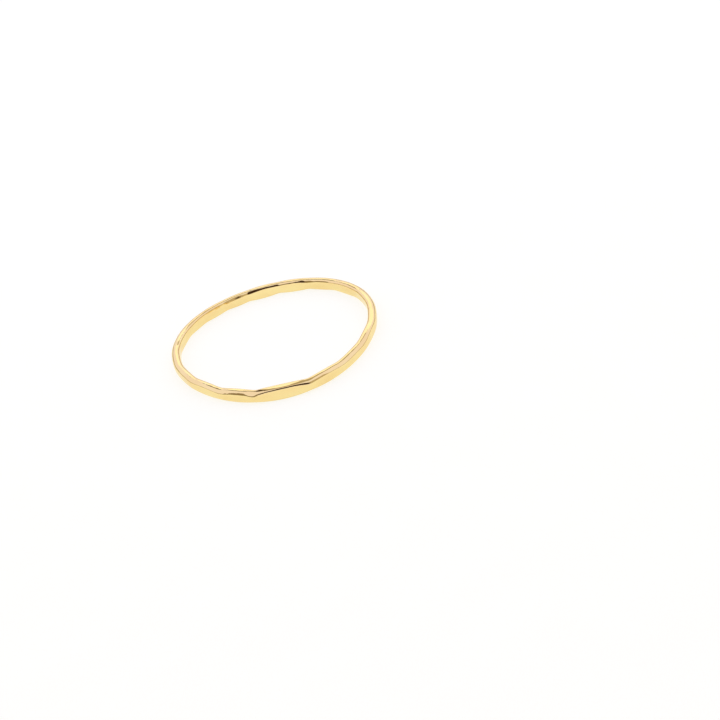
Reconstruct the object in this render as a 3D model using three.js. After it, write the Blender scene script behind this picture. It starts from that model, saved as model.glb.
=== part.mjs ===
// Stackable ring: one round gold wire, bent round, soldered end to end and hammered on a mandrel.
// Millimetres, +Z up. The band lies on its side, so the finger goes through it along Z. The origin
// is at the middle of the band, on the surface that it rests on. Angles round the band are in
// degrees from +X, anticlockwise seen from above.

import * as THREE from 'three';

const fingerDiameter = 17.3;

// The wire, between two blows. Depths are from its middle to the outer wall and to the finger's
// side, where the mandrel pressed it flatter. The corners are the radii of its round shoulders.
const outerDepth = 0.44;
const fingerDepth = 0.38;
const wireHeight = 1.02;
const outerCorner = 0.44;
const fingerCorner = 0.28;

// The band isn't quite round: hammering left three shallow lobes.
const lobeCount = 3;
const lobeRise = 0.235;
const lobeAngle = 32;

// A blow thins the wire by this share of its bite, and bends it in by the rest. The squeezed wire
// grows taller by growPerBite mm on each side for each mm of bite. On average the band was bent in
// by bentIn, which its radius allows for.
const thinnedShare = 0.25;
const growPerBite = 0.65;
const bentIn = 0.09;

// Both sides are rubbed true, so that bands lie flat on each other.
const truedHeight = 1.18;

// Hammer blows round the outside of the wall.
// at: degrees round the band; reach: mm each way along the wire to where the flat runs out;
// bite: mm deep at its middle; lean: degrees that the flat faces upwards.
const wallBlows = [
  { at: -163, reach: 1.45, bite: 0.06, lean: 0 },
  { at: -142, reach: 1.75, bite: 0.11, lean: 0 },
  { at: -119, reach: 1.75, bite: 0.15, lean: -3 },
  { at: -94, reach: 2.45, bite: 0.27, lean: 4 },
  { at: -69, reach: 1.8, bite: 0.13, lean: 0 },
  { at: -48, reach: 1.75, bite: 0.07, lean: -4 },
  { at: -27, reach: 1.8, bite: 0.09, lean: 6 },
  { at: -5, reach: 1.65, bite: 0.05, lean: -3 },
  { at: 15, reach: 1.6, bite: 0.06, lean: 5 },
  { at: 34, reach: 1.7, bite: 0.12, lean: -6 },
  { at: 52, reach: 1.5, bite: 0.1, lean: 5 },
  { at: 71, reach: 1.6, bite: 0.15, lean: -5 },
  { at: 90, reach: 1.7, bite: 0.17, lean: 6 },
  { at: 107, reach: 1.3, bite: 0.11, lean: -5 },
  { at: 123, reach: 1.45, bite: 0.12, lean: 4 },
  { at: 138, reach: 1.4, bite: 0.08, lean: -5 },
  { at: 156, reach: 1.6, bite: 0.1, lean: 6 },
  { at: 176, reach: 1.4, bite: 0.06, lean: 0 },
];

// Lighter marks on the wire's shoulders, which only cut it. The columns are as above, and lean is
// past 90 on the finger side.
const shoulderBlows = [
  { at: -120, reach: 1.4, bite: 0.013, lean: 28 },
  { at: -110.5, reach: 0.55, bite: 0.07, lean: 48 },
  { at: -94, reach: 2.3, bite: 0.02, lean: 28 },
  { at: -94, reach: 2.3, bite: 0.06, lean: 78 },
  { at: -36, reach: 1.2, bite: 0.03, lean: 47 },
  { at: 61, reach: 0.6, bite: 0.02, lean: 150 },
  { at: 96, reach: 0.7, bite: 0.03, lean: 150 },
  { at: 108, reach: 0.9, bite: 0.05, lean: 156 },
  { at: 124, reach: 3.4, bite: 0.05, lean: 166 },
];

// Fineness of the faceted solid: stations round the band, and points round the wire.
const stationCount = 220;
const pointCount = 20;

const wireRadius = fingerDiameter / 2 + fingerDepth + bentIn;

// How deep a blow is at a station. It is below zero past the flat's ends.
function depthAt(station, blow) {
  const turn = station - THREE.MathUtils.degToRad(blow.at);
  const alongWire = wireRadius * Math.atan2(Math.sin(turn), Math.cos(turn));
  return blow.bite * (1 - (alongWire / blow.reach) ** 2);
}

// A flat across the wire: the direction that it faces, and its distance from the wire's middle.
function flatAcross(lean, depth, halfHeight) {
  const facing = THREE.MathUtils.degToRad(lean);
  const side = lean < 90 ? outerDepth : fingerDepth;
  const corner = lean < 90 ? outerCorner : fingerCorner;
  const out = (side - corner) * Math.abs(Math.cos(facing));
  const up = (halfHeight - corner) * Math.abs(Math.sin(facing));
  return { facing, distance: out + up + corner - depth };
}

// The wire's form at a station: its distance from the band's axis, half its height, and its flats.
function wireAt(station) {
  const press = Math.max(0, ...wallBlows.map((blow) => depthAt(station, blow)));
  const lobes = lobeRise * Math.cos(lobeCount * (station - THREE.MathUtils.degToRad(lobeAngle)));
  const radius = wireRadius + lobes - (1 - thinnedShare) * press;
  const halfHeight = wireHeight / 2 + growPerBite * press;
  const flats = [
    ...wallBlows.map((blow) => flatAcross(blow.lean, thinnedShare * depthAt(station, blow), halfHeight)),
    ...shoulderBlows.map((blow) => flatAcross(blow.lean, depthAt(station, blow), halfHeight)),
    { facing: Math.PI / 2, distance: truedHeight / 2 },
    { facing: -Math.PI / 2, distance: truedHeight / 2 },
  ];
  return { radius, halfHeight, flats };
}

// Distance from the wire's middle to its unstruck surface on one side, which is as deep as side:
// a straight wall, a straight rim, and a round corner between them.
function unstruckDistance(direction, side, halfHeight, corner) {
  const across = Math.abs(Math.cos(direction));
  const upward = Math.abs(Math.sin(direction));
  const straightOut = side - corner;
  const straightUp = halfHeight - corner;
  if (upward * side <= straightUp * across) {
    return side / across;
  }
  if (across * halfHeight <= straightOut * upward) {
    return halfHeight / upward;
  }
  const offset = straightOut * upward - straightUp * across;
  return straightOut * across + straightUp * upward + Math.sqrt(corner ** 2 - offset ** 2);
}

// The surface point in one direction round the wire: 0 faces outwards, and 90 degrees faces up.
function surfacePoint(station, wire, direction) {
  const faceOut = Math.cos(direction) > 0;
  const side = faceOut ? outerDepth : fingerDepth;
  const corner = faceOut ? outerCorner : fingerCorner;
  let distance = unstruckDistance(direction, side, wire.halfHeight, corner);
  for (const flat of wire.flats) {
    const facing = Math.cos(direction - flat.facing);
    if (facing > 0) {
      distance = Math.min(distance, flat.distance / facing);
    }
  }
  const radius = wire.radius + distance * Math.cos(direction);
  return [radius * Math.cos(station), radius * Math.sin(station), distance * Math.sin(direction)];
}

// The band as one closed surface: rings of points round the wire, joined station by station.
function makeBand() {
  const positions = [];
  const triangles = [];
  for (let i = 0; i < stationCount; i++) {
    const station = (2 * Math.PI * i) / stationCount;
    const wire = wireAt(station);
    for (let j = 0; j < pointCount; j++) {
      positions.push(...surfacePoint(station, wire, (2 * Math.PI * (j + 0.5)) / pointCount));
    }
  }
  for (let i = 0; i < stationCount; i++) {
    const here = i * pointCount;
    const next = ((i + 1) % stationCount) * pointCount;
    for (let j = 0; j < pointCount; j++) {
      const k = (j + 1) % pointCount;
      triangles.push(here + j, next + j, next + k);
      triangles.push(here + j, next + k, here + k);
    }
  }
  const geometry = new THREE.BufferGeometry();
  geometry.setAttribute('position', new THREE.Float32BufferAttribute(positions, 3));
  geometry.setIndex(triangles);
  geometry.computeBoundingBox();
  const middle = geometry.boundingBox.getCenter(new THREE.Vector3());
  geometry.translate(-middle.x, -middle.y, -geometry.boundingBox.min.z);
  geometry.computeVertexNormals();
  return geometry;
}

const polishedGold = new THREE.MeshStandardMaterial({
  color: new THREE.Color(1.0, 0.78, 0.34),
  roughness: 0.12,
  metalness: 1.0,
});

const band = new THREE.Mesh(makeBand(), polishedGold);
band.name = 'band';

const ring = new THREE.Group();
ring.name = 'stackable_ring';
ring.add(band);

export default ring;
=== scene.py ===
"""A thin stackable ring of hammered gold wire, lying on its side on a white studio sweep."""

import math

import bpy
import numpy as np
from mathutils import Matrix, Vector


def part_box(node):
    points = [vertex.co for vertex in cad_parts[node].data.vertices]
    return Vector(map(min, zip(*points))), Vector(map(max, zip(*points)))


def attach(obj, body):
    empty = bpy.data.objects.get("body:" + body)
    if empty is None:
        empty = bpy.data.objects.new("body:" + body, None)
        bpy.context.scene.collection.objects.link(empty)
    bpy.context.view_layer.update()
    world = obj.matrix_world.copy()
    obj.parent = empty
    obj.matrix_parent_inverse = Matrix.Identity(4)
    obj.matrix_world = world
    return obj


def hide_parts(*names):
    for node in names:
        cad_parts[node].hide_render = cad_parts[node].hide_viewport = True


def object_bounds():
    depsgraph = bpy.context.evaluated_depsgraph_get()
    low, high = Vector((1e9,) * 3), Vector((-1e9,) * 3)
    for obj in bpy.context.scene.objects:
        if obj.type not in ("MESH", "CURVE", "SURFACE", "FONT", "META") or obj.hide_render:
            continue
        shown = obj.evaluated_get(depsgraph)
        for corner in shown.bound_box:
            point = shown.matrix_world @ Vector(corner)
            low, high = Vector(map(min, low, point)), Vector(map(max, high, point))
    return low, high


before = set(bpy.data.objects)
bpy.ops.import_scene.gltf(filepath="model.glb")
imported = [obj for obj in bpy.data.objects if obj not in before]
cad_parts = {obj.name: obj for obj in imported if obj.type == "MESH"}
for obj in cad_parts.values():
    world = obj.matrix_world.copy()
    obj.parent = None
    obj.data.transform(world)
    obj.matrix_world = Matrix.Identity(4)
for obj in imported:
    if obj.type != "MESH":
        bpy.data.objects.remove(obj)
cad_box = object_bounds()


# ---- Band ----------------------------------------------------------------------------------------
# One length of 1.0 mm round gold wire, bent round, soldered end to end and hammered on a steel
# mandrel. Each blow left a flat on the outside and squeezed the wire a little taller. The solder is
# the wire's own gold and is filed flush, so no seam shows, and both sides are rubbed true.

MM = 0.001

# The wire between two blows. Depths are from its middle to the outer wall and to the finger's side,
# and the corners are the radii of its shoulders. All lengths here are in mm.
finger_diameter = 17.3
outer_depth = 0.44
finger_depth = 0.38
wire_height = 1.02
trued_height = 1.18
outer_corner = 0.44
finger_corner = 0.28

# The band isn't quite round: hammering left three shallow lobes.
lobe_count = 3
lobe_rise = 0.235
lobe_angle = math.radians(32)

# A blow thins the wire by this share of its bite and bends it in by the rest. The squeezed wire
# grows taller by grow_per_bite on each side, and the band's radius allows for bent_in.
thinned_share = 0.25
grow_per_bite = 0.65
bent_in = 0.09

# How far polishing rounded the bends between blows, the ridges between flats, the small nicks, the
# edges of the flats on the shoulders, and the edges of the trued rims.
bend_softness = 0.08
ridge_softness = 0.02
nick_softness = 0.04
shoulder_softness = 0.09
rim_softness = 0.02

wire_radius = finger_diameter / 2 + finger_depth + bent_in

# at: degrees round the band; reach: mm each way along the wire to where the flat runs out;
# bite: mm deep at its middle; lean: degrees that the flat faces upwards, past 90 on the finger side.
blow_columns = ("at", "reach", "bite", "lean")
wall_blow_rows = (
    (-163, 1.45, 0.06, 0),
    (-142, 1.75, 0.11, 0),
    (-119, 1.75, 0.15, -3),
    (-94, 2.45, 0.27, 4),
    (-69, 1.8, 0.13, 0),
    (-48, 1.75, 0.07, -4),
    (-27, 1.8, 0.09, 6),
    (-5, 1.65, 0.05, -3),
    (15, 1.6, 0.06, 5),
    (34, 1.7, 0.12, -6),
    (52, 1.5, 0.1, 5),
    (71, 1.6, 0.15, -5),
    (90, 1.7, 0.17, 6),
    (107, 1.3, 0.11, -5),
    (123, 1.45, 0.12, 4),
    (138, 1.4, 0.08, -5),
    (156, 1.6, 0.1, 6),
    (176, 1.4, 0.06, 0),
)
shoulder_blow_rows = (
    (-120, 1.4, 0.013, 28),
    (-110.5, 0.55, 0.07, 48),
    (-94, 2.3, 0.02, 28),
    (-94, 2.3, 0.06, 78),
    (-36, 1.2, 0.03, 47),
    (61, 0.6, 0.02, 150),
    (96, 0.7, 0.03, 150),
    (108, 0.9, 0.05, 156),
    (124, 3.4, 0.05, 166),
)
wall_blows = [dict(zip(blow_columns, row)) for row in wall_blow_rows]
shoulder_blows = [dict(zip(blow_columns, row)) for row in shoulder_blow_rows]

# Fineness of the mesh: stations round the band, and points round the wire.
station_count = 1200
point_count = 72

# Directions closer than this to edge-on to a face aren't divided by.
least_share = 1e-6
least_facing = 0.01


def depth_at(station, blow):
    """How deep a blow is at each station, in mm. It is below zero past the flat's ends."""
    turn = station - math.radians(blow["at"])
    along = wire_radius * np.arctan2(np.sin(turn), np.cos(turn))
    return blow["bite"] * (1 - (along / blow["reach"]) ** 2)


def soft_least(first, second, softness):
    """The smaller of two distances, rounded over where they meet."""
    near = np.clip(1 - np.abs(first - second) / softness, 0, 1)
    return np.minimum(first, second) - near ** 2 * softness / 4


def side_distance(across, upward, depth, half_height, corner):
    """How far the wire reaches from its middle, on the side that is depth deep with rounded corners."""
    straight_up, straight_out = half_height - corner, depth - corner
    level = straight_out * across + straight_up * upward
    offset = straight_out * upward - straight_up * across
    rounded = level + np.sqrt(np.maximum(corner ** 2 - offset ** 2, 0))
    on_wall = upward * depth <= straight_up * across
    on_rim = across * half_height <= straight_out * upward
    wall, rim = depth / across.clip(least_share), half_height / upward.clip(least_share)
    return np.where(on_wall, wall, np.where(on_rim, rim, rounded))


def band_points():
    """The band's surface points in mm, and each one's place on the wire for the polisher's marks."""
    station = np.linspace(0, 2 * math.pi, station_count, endpoint=False)[:, None]
    direction = (np.arange(point_count) + 0.5)[None, :] * 2 * math.pi / point_count
    press = np.zeros_like(station)
    for blow in wall_blows:
        press = -soft_least(-press, -depth_at(station, blow), bend_softness)
    half_height = wire_height / 2 + grow_per_bite * press
    across, upward = np.abs(np.cos(direction)), np.abs(np.sin(direction))
    outside = side_distance(across, upward, outer_depth, half_height, outer_corner)
    finger_side = side_distance(across, upward, finger_depth, half_height, finger_corner)
    distance = np.where(np.cos(direction) > 0, outside, finger_side)

    def flat_distance(lean, depth):
        """How far the wire reaches to a flat that faces lean degrees upwards."""
        side, corner = (outer_depth, outer_corner) if lean < 90 else (finger_depth, finger_corner)
        lean = math.radians(lean)
        facing = np.cos(direction - lean)
        reach = (side - corner) * abs(math.cos(lean)) + (half_height - corner) * abs(math.sin(lean))
        distance = (reach + corner - depth) / facing.clip(least_facing)
        return np.where(facing > least_facing, distance, wire_height)

    for blow in shoulder_blows:
        flat = flat_distance(blow["lean"], depth_at(station, blow))
        distance = soft_least(distance, flat, nick_softness)
    flats = np.full(distance.shape, wire_height)
    for blow in wall_blows:
        flat = flat_distance(blow["lean"], thinned_share * depth_at(station, blow))
        flats = soft_least(flats, flat, ridge_softness)
    distance = soft_least(distance, flats, shoulder_softness)
    rims = trued_height / 2 / upward.clip(least_share)
    distance = soft_least(distance, rims, rim_softness)
    lobes = lobe_rise * np.cos(lobe_count * (station - lobe_angle))
    sink = (1 - thinned_share) * press
    across = distance * np.cos(direction)
    radius = wire_radius + lobes - sink + across
    height = distance * np.sin(direction)
    points = np.stack((radius * np.cos(station), radius * np.sin(station), height), axis=-1)
    middle = wire_radius * np.cos(station), wire_radius * np.sin(station)
    places = np.stack(np.broadcast_arrays(*middle, height), axis=-1)
    return points.reshape(-1, 3), places.reshape(-1, 3), across.ravel()


def make_band():
    """The band as one smooth closed mesh, set on the CAD band's own place."""
    points, places, across = band_points()
    points *= MM
    low, high = (np.array(corner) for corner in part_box("band"))
    middle = (points.min(axis=0) + points.max(axis=0)) / 2
    points += (low + high) / 2 - middle
    faces = []
    for i in range(station_count):
        here, after = i * point_count, (i + 1) % station_count * point_count
        for j in range(point_count):
            k = (j + 1) % point_count
            faces.append((here + j, after + j, after + k, here + k))
    mesh = bpy.data.meshes.new("hammered_band")
    mesh.from_pydata(points.tolist(), [], faces)
    mesh.polygons.foreach_set("use_smooth", [True] * len(faces))
    wire_place = mesh.attributes.new("wire_place", "FLOAT_VECTOR", "POINT")
    wire_place.data.foreach_set("vector", places.ravel())
    wire_across = mesh.attributes.new("wire_across", "FLOAT", "POINT")
    wire_across.data.foreach_set("value", across)
    mesh.update()
    piece = bpy.data.objects.new("hammered_band", mesh)
    bpy.context.collection.objects.link(piece)
    return piece


pale_gold = (0.96, 0.79, 0.37, 1)
deep_gold = (0.92, 0.70, 0.31, 1)
wheel_line_depth = 0.002
ripple_depth = 0.03

# Most of a noise lies between these two values, so a look is spread between them.
noise_low = 0.3
noise_high = 0.7


def polished_gold():
    """Gold rolled over with a polishing wheel: fine lines along the wire, and broad soft ripples."""
    material = bpy.data.materials.new("polished_gold")
    material.use_nodes = True
    nodes, links = material.node_tree.nodes, material.node_tree.links
    shader = nodes["Principled BSDF"]
    place = nodes.new("ShaderNodeAttribute")
    place.attribute_name = "wire_place"
    across = nodes.new("ShaderNodeAttribute")
    across.attribute_name = "wire_across"

    def marks(along_per_mm, round_per_mm, detail):
        """Noise drawn out along the wire, with so many cells to a mm along it and round it."""
        spread = nodes.new("ShaderNodeVectorMath")
        spread.operation = "MULTIPLY"
        spread.inputs[1].default_value = (along_per_mm, along_per_mm, round_per_mm)
        links.new(place.outputs["Vector"], spread.inputs[0])
        depth = nodes.new("ShaderNodeMath")
        depth.operation = "MULTIPLY"
        depth.inputs[1].default_value = round_per_mm
        links.new(across.outputs["Fac"], depth.inputs[0])
        noise = nodes.new("ShaderNodeTexNoise")
        noise.noise_dimensions = "4D"
        noise.inputs["Scale"].default_value = 1
        noise.inputs["Detail"].default_value = detail
        links.new(spread.outputs["Vector"], noise.inputs["Vector"])
        links.new(depth.outputs["Value"], noise.inputs["W"])
        return noise.outputs["Fac"]

    def spread_over(mask, low, high):
        """A value that goes from low to high over the noise."""
        span = nodes.new("ShaderNodeMapRange")
        span.inputs["From Min"].default_value = noise_low
        span.inputs["From Max"].default_value = noise_high
        span.inputs["To Min"].default_value = low
        span.inputs["To Max"].default_value = high
        links.new(mask, span.inputs["Value"])
        return span.outputs["Result"]

    def bump(height, depth_mm, under=None):
        """The surface's direction with marks of this depth on it."""
        node = nodes.new("ShaderNodeBump")
        node.inputs["Distance"].default_value = depth_mm * MM
        links.new(height, node.inputs["Height"])
        if under:
            links.new(under, node.inputs["Normal"])
        return node.outputs["Normal"]

    wheel_lines = marks(along_per_mm=0.5, round_per_mm=18, detail=3)
    ripples = marks(along_per_mm=1.1, round_per_mm=1.6, detail=1)
    clouds = marks(along_per_mm=0.4, round_per_mm=0.9, detail=2)
    gold = nodes.new("ShaderNodeMix")
    gold.data_type = "RGBA"
    gold.inputs["A"].default_value = pale_gold
    gold.inputs["B"].default_value = deep_gold
    links.new(spread_over(clouds, low=0, high=1), gold.inputs["Factor"])
    links.new(gold.outputs["Result"], shader.inputs["Base Color"])
    shader.inputs["Metallic"].default_value = 1
    links.new(spread_over(wheel_lines, low=0.04, high=0.1), shader.inputs["Roughness"])
    rippled = bump(ripples, ripple_depth)
    links.new(bump(wheel_lines, wheel_line_depth, under=rippled), shader.inputs["Normal"])
    return material


band = make_band()
band.data.materials.append(polished_gold())
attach(band, "root")
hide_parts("band")


# ---- Sweep ---------------------------------------------------------------------------------------
# A wide sheet of matt white paper under the ring, lit through from below. Its fibres make it a
# little cloudy and not quite smooth.

sweep_width = 3.0
thick_pulp = (0.29, 0.285, 0.26, 1)
thin_pulp = (0.31, 0.305, 0.28, 1)
light_through = (1.0, 1.0, 0.96, 1)
fibre_height = 0.01


def white_paper():
    """Matt white paper: short fibres, faint clouds, and light through it."""
    material = bpy.data.materials.new("white_paper")
    material.use_nodes = True
    nodes, links = material.node_tree.nodes, material.node_tree.links
    shader = nodes["Principled BSDF"]
    place = nodes.new("ShaderNodeTexCoord")

    def noise(cells_per_mm, detail):
        """Even noise over the sheet."""
        node = nodes.new("ShaderNodeTexNoise")
        node.inputs["Scale"].default_value = cells_per_mm / MM
        node.inputs["Detail"].default_value = detail
        links.new(place.outputs["Object"], node.inputs["Vector"])
        return node.outputs["Fac"]

    tone = nodes.new("ShaderNodeMix")
    tone.data_type = "RGBA"
    tone.inputs["A"].default_value = thick_pulp
    tone.inputs["B"].default_value = thin_pulp
    links.new(noise(cells_per_mm=0.2, detail=4), tone.inputs["Factor"])
    links.new(tone.outputs["Result"], shader.inputs["Base Color"])
    fibres = nodes.new("ShaderNodeBump")
    fibres.inputs["Distance"].default_value = fibre_height * MM
    links.new(noise(cells_per_mm=5, detail=3), fibres.inputs["Height"])
    links.new(fibres.outputs["Normal"], shader.inputs["Normal"])
    shader.inputs["Roughness"].default_value = 0.8
    shader.inputs["Specular IOR Level"].default_value = 0
    shader.inputs["Emission Color"].default_value = light_through
    shader.inputs["Emission Strength"].default_value = 0.8
    return material


bpy.ops.mesh.primitive_plane_add(size=sweep_width)
sweep = bpy.context.object
sweep.name = "white_sweep"
sweep.data.materials.append(white_paper())


# ---- Light tent ----------------------------------------------------------------------------------
# White cloth all round, evenly lit from outside, and seven plain cards hung in it. Polished gold
# shows only what is round it, so the cards' reflections are what make its flats and edges read.
# The gold is lit by the cloth's own tint, and the open tent behind it is seen as plain white.

cloth_tint = (0.97, 0.92, 1.18, 1)
plain_white = (1.05, 1.05, 1.05, 1)

world = bpy.data.worlds.new("light_tent")
bpy.context.scene.world = world
world.use_nodes = True
cloth = world.node_tree.nodes["Background"]
seen = world.node_tree.nodes.new("ShaderNodeLightPath")
cloth_colour = world.node_tree.nodes.new("ShaderNodeMix")
cloth_colour.data_type = "RGBA"
cloth_colour.inputs["A"].default_value = cloth_tint
cloth_colour.inputs["B"].default_value = plain_white
world.node_tree.links.new(seen.outputs["Is Camera Ray"], cloth_colour.inputs["Factor"])
world.node_tree.links.new(cloth_colour.outputs["Result"], cloth.inputs["Color"])

# A card is a strip of this many rows, fading out at the first and the last, with a corner at every
# card_step degrees round the tent.
card_rows = 4
card_step = 1.0


def tent_card(name, radius, shade, soft, outline):
    """A curved card hung in the tent, which only shows as a reflection in the gold.

    Its radius is in metres from the ring's middle. The outline rows are bearing, lower angle and
    upper angle in degrees, and soft is how many degrees its lower and upper edges take to fade out.
    """
    vertices, faces = [], []
    ends, low_ends, high_ends = zip(*outline)
    bearings = np.arange(ends[0], ends[-1] + card_step / 10, card_step)
    lows, highs = np.interp(bearings, ends, low_ends), np.interp(bearings, ends, high_ends)
    for bearing, low, high in zip(np.radians(bearings), lows, highs):
        for angle in (low, low + soft, high - soft, high):
            x, y = radius * math.cos(bearing), radius * math.sin(bearing)
            vertices.append((x, y, radius * math.tan(math.radians(angle))))
    for i in range(len(bearings) - 1):
        for j in range(card_rows - 1):
            here, after = card_rows * i + j, card_rows * (i + 1) + j
            faces.append((here, after, after + 1, here + 1))
    mesh = bpy.data.meshes.new(name)
    mesh.from_pydata(vertices, [], faces)
    fade = mesh.attributes.new("card_cover", "FLOAT", "POINT")
    covers = [float(0 < i % card_rows < card_rows - 1) for i in range(len(vertices))]
    fade.data.foreach_set("value", covers)
    card = bpy.data.objects.new(name, mesh)
    bpy.context.collection.objects.link(card)
    material = bpy.data.materials.new(name)
    material.use_nodes = True
    nodes, links = material.node_tree.nodes, material.node_tree.links
    nodes.clear()
    cover = nodes.new("ShaderNodeAttribute")
    cover.attribute_name = "card_cover"
    glow = nodes.new("ShaderNodeEmission")
    glow.inputs["Color"].default_value = (*shade, 1)
    faded = nodes.new("ShaderNodeMixShader")
    output = nodes.new("ShaderNodeOutputMaterial")
    links.new(cover.outputs["Fac"], faded.inputs["Fac"])
    links.new(nodes.new("ShaderNodeBsdfTransparent").outputs["BSDF"], faded.inputs[1])
    links.new(glow.outputs["Emission"], faded.inputs[2])
    links.new(faded.outputs["Shader"], output.inputs["Surface"])
    card.data.materials.append(material)
    card.visible_camera = False


tent_card("camera_side", radius=0.3, shade=(0.05, 0.025, 0.01), soft=4,
          outline=((-120, 6, 78), (-68, 6, 78)))
tent_card("left_flag", radius=0.3, shade=(0.3, 0.24, 0.17), soft=5,
          outline=((-160, -3, 42), (-120, -3, 42)))
tent_card("right_flag", radius=0.3, shade=(0.55, 0.46, 0.37), soft=5,
          outline=((-68, -3, 52), (-40, -3, 52)))
tent_card("back_header", radius=0.3, shade=(0.5, 0.43, 0.35), soft=3,
          outline=((60, 38, 76), (101, 38, 76)))
tent_card("tent_seam", radius=0.3, shade=(0.1, 0.07, 0.04), soft=3,
          outline=((101, 36, 72), (114, 42, 68)))
tent_card("back_light", radius=0.36, shade=(1.25, 1.22, 1.25), soft=1,
          outline=((50, 25, 38), (97, 25, 38)))
tent_card("skirt", radius=0.34, shade=(0.55, 0.47, 0.39), soft=1,
          outline=((-40, 0, 12), (200, 0, 12)))


# ---- Camera --------------------------------------------------------------------------------------
# A short telephoto, a third of the way up and a little tipped, aimed in front and to the right of
# the ring, so that the ring stands left of the middle. Lengths are shares of the ring's width.

ring_width = cad_box[1][0] - cad_box[0][0]
aim = Vector((0.3435, -0.337, 0)) * ring_width
distance = 6.84 * ring_width
azimuth = math.radians(-93.4)
elevation = math.radians(32.4)
roll = math.radians(-13.7)

camera_data = bpy.data.cameras.new("camera")
camera_data.lens = 75
camera_data.sensor_width = 36
camera_data.clip_start = 0.001
camera = bpy.data.objects.new("camera", camera_data)
bpy.context.collection.objects.link(camera)
camera.matrix_world = (Matrix.Translation(aim)
                       @ Matrix.Rotation(azimuth + math.pi / 2, 4, "Z")
                       @ Matrix.Rotation(math.pi / 2 - elevation, 4, "X")
                       @ Matrix.Translation((0, 0, distance))
                       @ Matrix.Rotation(roll, 4, "Z"))
bpy.context.scene.camera = camera
bpy.context.scene.view_settings.view_transform = "Standard"
